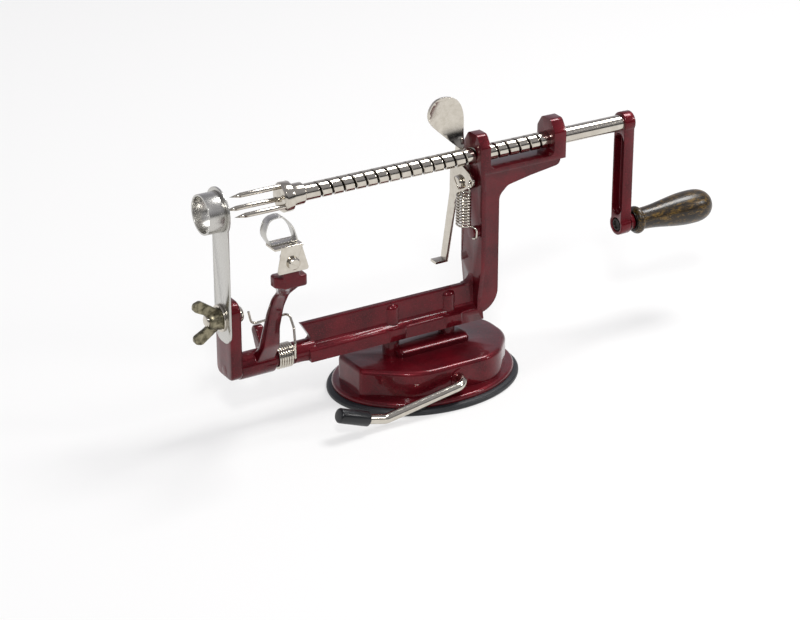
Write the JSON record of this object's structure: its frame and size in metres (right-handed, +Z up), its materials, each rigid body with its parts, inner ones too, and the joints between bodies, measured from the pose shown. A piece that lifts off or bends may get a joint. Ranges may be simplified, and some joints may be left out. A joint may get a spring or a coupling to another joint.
{
  "type": "apple peeler corer",
  "caption": "Hand-cranked apple peeler, corer and slicer: enamelled cast frame on a rubber suction base, screw-fed fork and shaft, sprung peeling arm, wooden crank handle",
  "frame": {"origin": "centre of the rubber pad's underside, on the table", "axes": "+X along the feed shaft towards the crank, -Y the side of the peeling blade, +Z up"},
  "size_m": [0.3087, 0.0866, 0.1474],
  "materials": {
    "frame_enamel": "semi-gloss metallic burgundy enamel on cast iron",
    "bright_steel": "nickel-plated bright steel",
    "ground_steel": "ground stainless steel",
    "brass": "dull brass",
    "rubber": "matt black rubber",
    "grip_plastic": "matt black plastic sleeve",
    "handle_wood": "lacquered dark turned wood"
  },
  "bodies": {
    "frame": {"frame_casting": "frame_enamel", "end_plate": "frame_enamel", "base_casting": "frame_enamel", "frame_screws": "bright_steel", "suction_pad": "rubber", "lever_pivot_screw": "bright_steel", "release_spring": "bright_steel", "slicer_blade": "ground_steel", "coring_ring": "ground_steel", "blade_bolt": "bright_steel", "blade_washer": "bright_steel"},
    "wing_nut_body": {"wing_nut": "brass"},
    "collar": {"fork_collar": "bright_steel"},
    "spindle": {"feed_shaft": "bright_steel", "fork_hub": "bright_steel", "fork_prongs": "bright_steel", "crank_arm": "frame_enamel", "crank_screw": "bright_steel"},
    "grip": {"wooden_handle": "handle_wood", "handle_pin": "bright_steel", "handle_washer": "bright_steel"},
    "peeling_arm": {"peeler_arm": "frame_enamel", "arm_spring": "bright_steel", "blade_carrier": "bright_steel", "peeling_blade": "ground_steel", "carrier_screw": "bright_steel"},
    "feed_release": {"release_lever": "bright_steel"},
    "suction_spindle": {"suction_lever": "bright_steel", "lever_sleeve": "grip_plastic", "lever_cam": "bright_steel", "lever_clip": "bright_steel"},
    "pad_lifter": {"pad_plate": "bright_steel", "suction_stem": "bright_steel"}
  },
  "joints": [
    {"name": "feed", "type": "slide", "parent": "frame", "child": "collar", "axis": [1, 0, 0], "range_m": [-0.03, 0.085]},
    {"name": "crank_turn", "type": "hinge", "parent": "collar", "child": "spindle", "pos_m": [0, 0, 0.117], "axis": [1, 0, 0], "range_deg": [-1700.8, 4818.9]},
    {"name": "handle_spin", "type": "hinge", "parent": "spindle", "child": "grip", "pos_m": [0.15, 0, 0.06], "axis": [1, 0, 0], "continuous": true},
    {"name": "peeler_swing", "type": "hinge", "parent": "frame", "child": "peeling_arm", "pos_m": [-0.0972, 0, 0.0333], "axis": [1, 0, 0], "range_deg": [-15, 35], "stiffness_Nm_per_rad": 0.12, "deforming": ["arm_spring"]},
    {"name": "release_tilt", "type": "hinge", "parent": "frame", "child": "feed_release", "pos_m": [0.0257, 0.0065, 0.101], "axis": [-1, 0, 0], "range_deg": [0, 10], "stiffness_Nm_per_rad": 0.2, "springref_deg": -2.86, "deforming": ["release_spring"]},
    {"name": "suction_turn", "type": "hinge", "parent": "frame", "child": "suction_spindle", "pos_m": [0.003, -0.0285, 0.0123], "axis": [0, 1, 0], "range_deg": [0, 150]},
    {"name": "pad_lift", "type": "slide", "parent": "frame", "child": "pad_lifter", "axis": [0, 0, 1], "range_m": [0, 0.0025]},
    {"name": "wing_nut_spin", "type": "hinge", "parent": "frame", "child": "wing_nut_body", "pos_m": [-0.1186, 0, 0.0615], "axis": [1, 0, 0], "continuous": true}
  ],
  "couplings": [
    {"joint": "feed", "follows": "crank_turn", "m_per_rad": 0.0010106},
    {"joint": "pad_lift", "follows": "suction_turn", "m_per_rad": 0.00095493}
  ]
}
